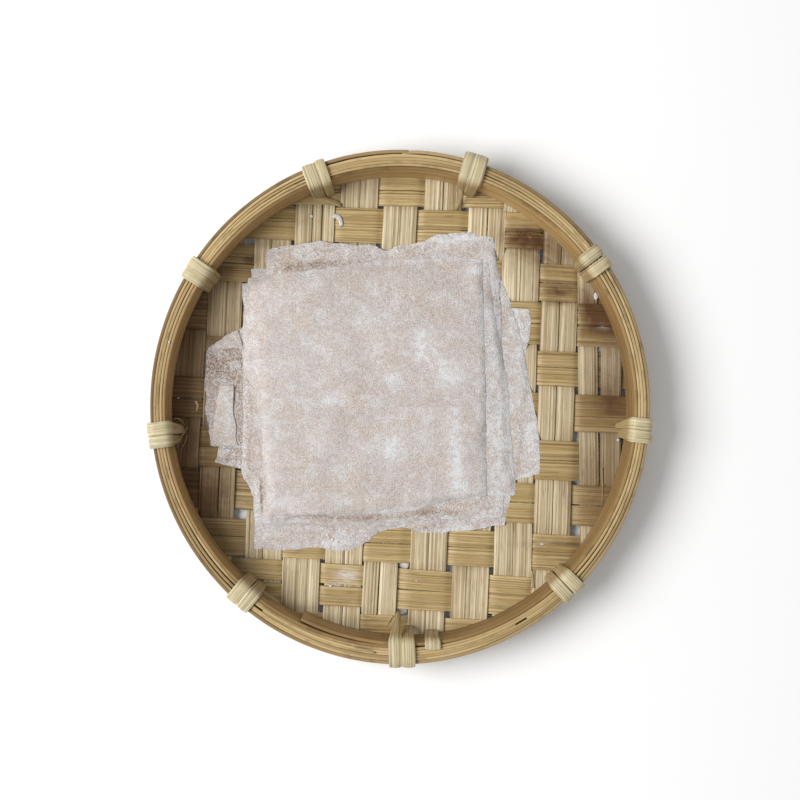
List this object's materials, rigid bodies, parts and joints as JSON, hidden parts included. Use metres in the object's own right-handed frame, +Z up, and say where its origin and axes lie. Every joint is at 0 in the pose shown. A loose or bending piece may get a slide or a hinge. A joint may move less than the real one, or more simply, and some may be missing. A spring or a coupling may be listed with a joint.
{
  "type": "stack of wonton wrappers",
  "caption": "Askew stack of square, flour-dusted dough sheets resting on a round tray woven from split bamboo with a lashed hoop rim.",
  "frame": {"origin": "on the surface the tray stands on, under the middle of the box round the whole object", "axes": "+Z up, +X to the tray's right and +Y to its back, as the picture shows them from above"},
  "size_m": [0.1874, 0.1914, 0.0213],
  "materials": {
    "bamboo_upright": "satin",
    "bamboo_crosswise": "satin",
    "bamboo_hoop": "satin",
    "bamboo_splint": "satin",
    "cane": "satin",
    "dough": "matte, dusted with flour"
  },
  "bodies": {
    "root": {"mat_upright_1": "bamboo_upright", "mat_upright_2": "bamboo_upright", "mat_upright_3": "bamboo_upright", "mat_upright_4": "bamboo_upright", "mat_upright_5": "bamboo_upright", "mat_upright_6": "bamboo_upright", "mat_upright_7": "bamboo_upright", "mat_upright_8": "bamboo_upright", "mat_upright_9": "bamboo_upright", "mat_upright_10": "bamboo_upright", "mat_upright_11": "bamboo_upright", "mat_crosswise_1": "bamboo_crosswise", "mat_crosswise_2": "bamboo_crosswise", "mat_crosswise_3": "bamboo_crosswise", "mat_crosswise_4": "bamboo_crosswise", "mat_crosswise_5": "bamboo_crosswise", "mat_crosswise_6": "bamboo_crosswise", "mat_crosswise_7": "bamboo_crosswise", "mat_crosswise_8": "bamboo_crosswise", "mat_crosswise_9": "bamboo_crosswise", "mat_crosswise_10": "bamboo_crosswise", "mat_crosswise_11": "bamboo_crosswise", "hoop_outer": "bamboo_hoop", "hoop_inner": "bamboo_hoop", "splint_outer": "bamboo_splint", "splint_inner": "bamboo_splint", "splint_filler_back": "bamboo_splint", "splint_filler_front": "bamboo_splint", "lashing_1": "cane", "lashing_2": "cane", "lashing_3": "cane", "lashing_4": "cane", "lashing_5": "cane", "lashing_6": "cane", "lashing_7": "cane", "lashing_8": "cane", "lashing_9": "cane", "sheet_1": "dough", "sheet_2": "dough", "sheet_3": "dough", "sheet_4": "dough", "sheet_5": "dough", "sheet_6": "dough", "sheet_7": "dough", "sheet_8": "dough", "sheet_9": "dough", "sheet_10": "dough"}
  },
  "joints": []
}
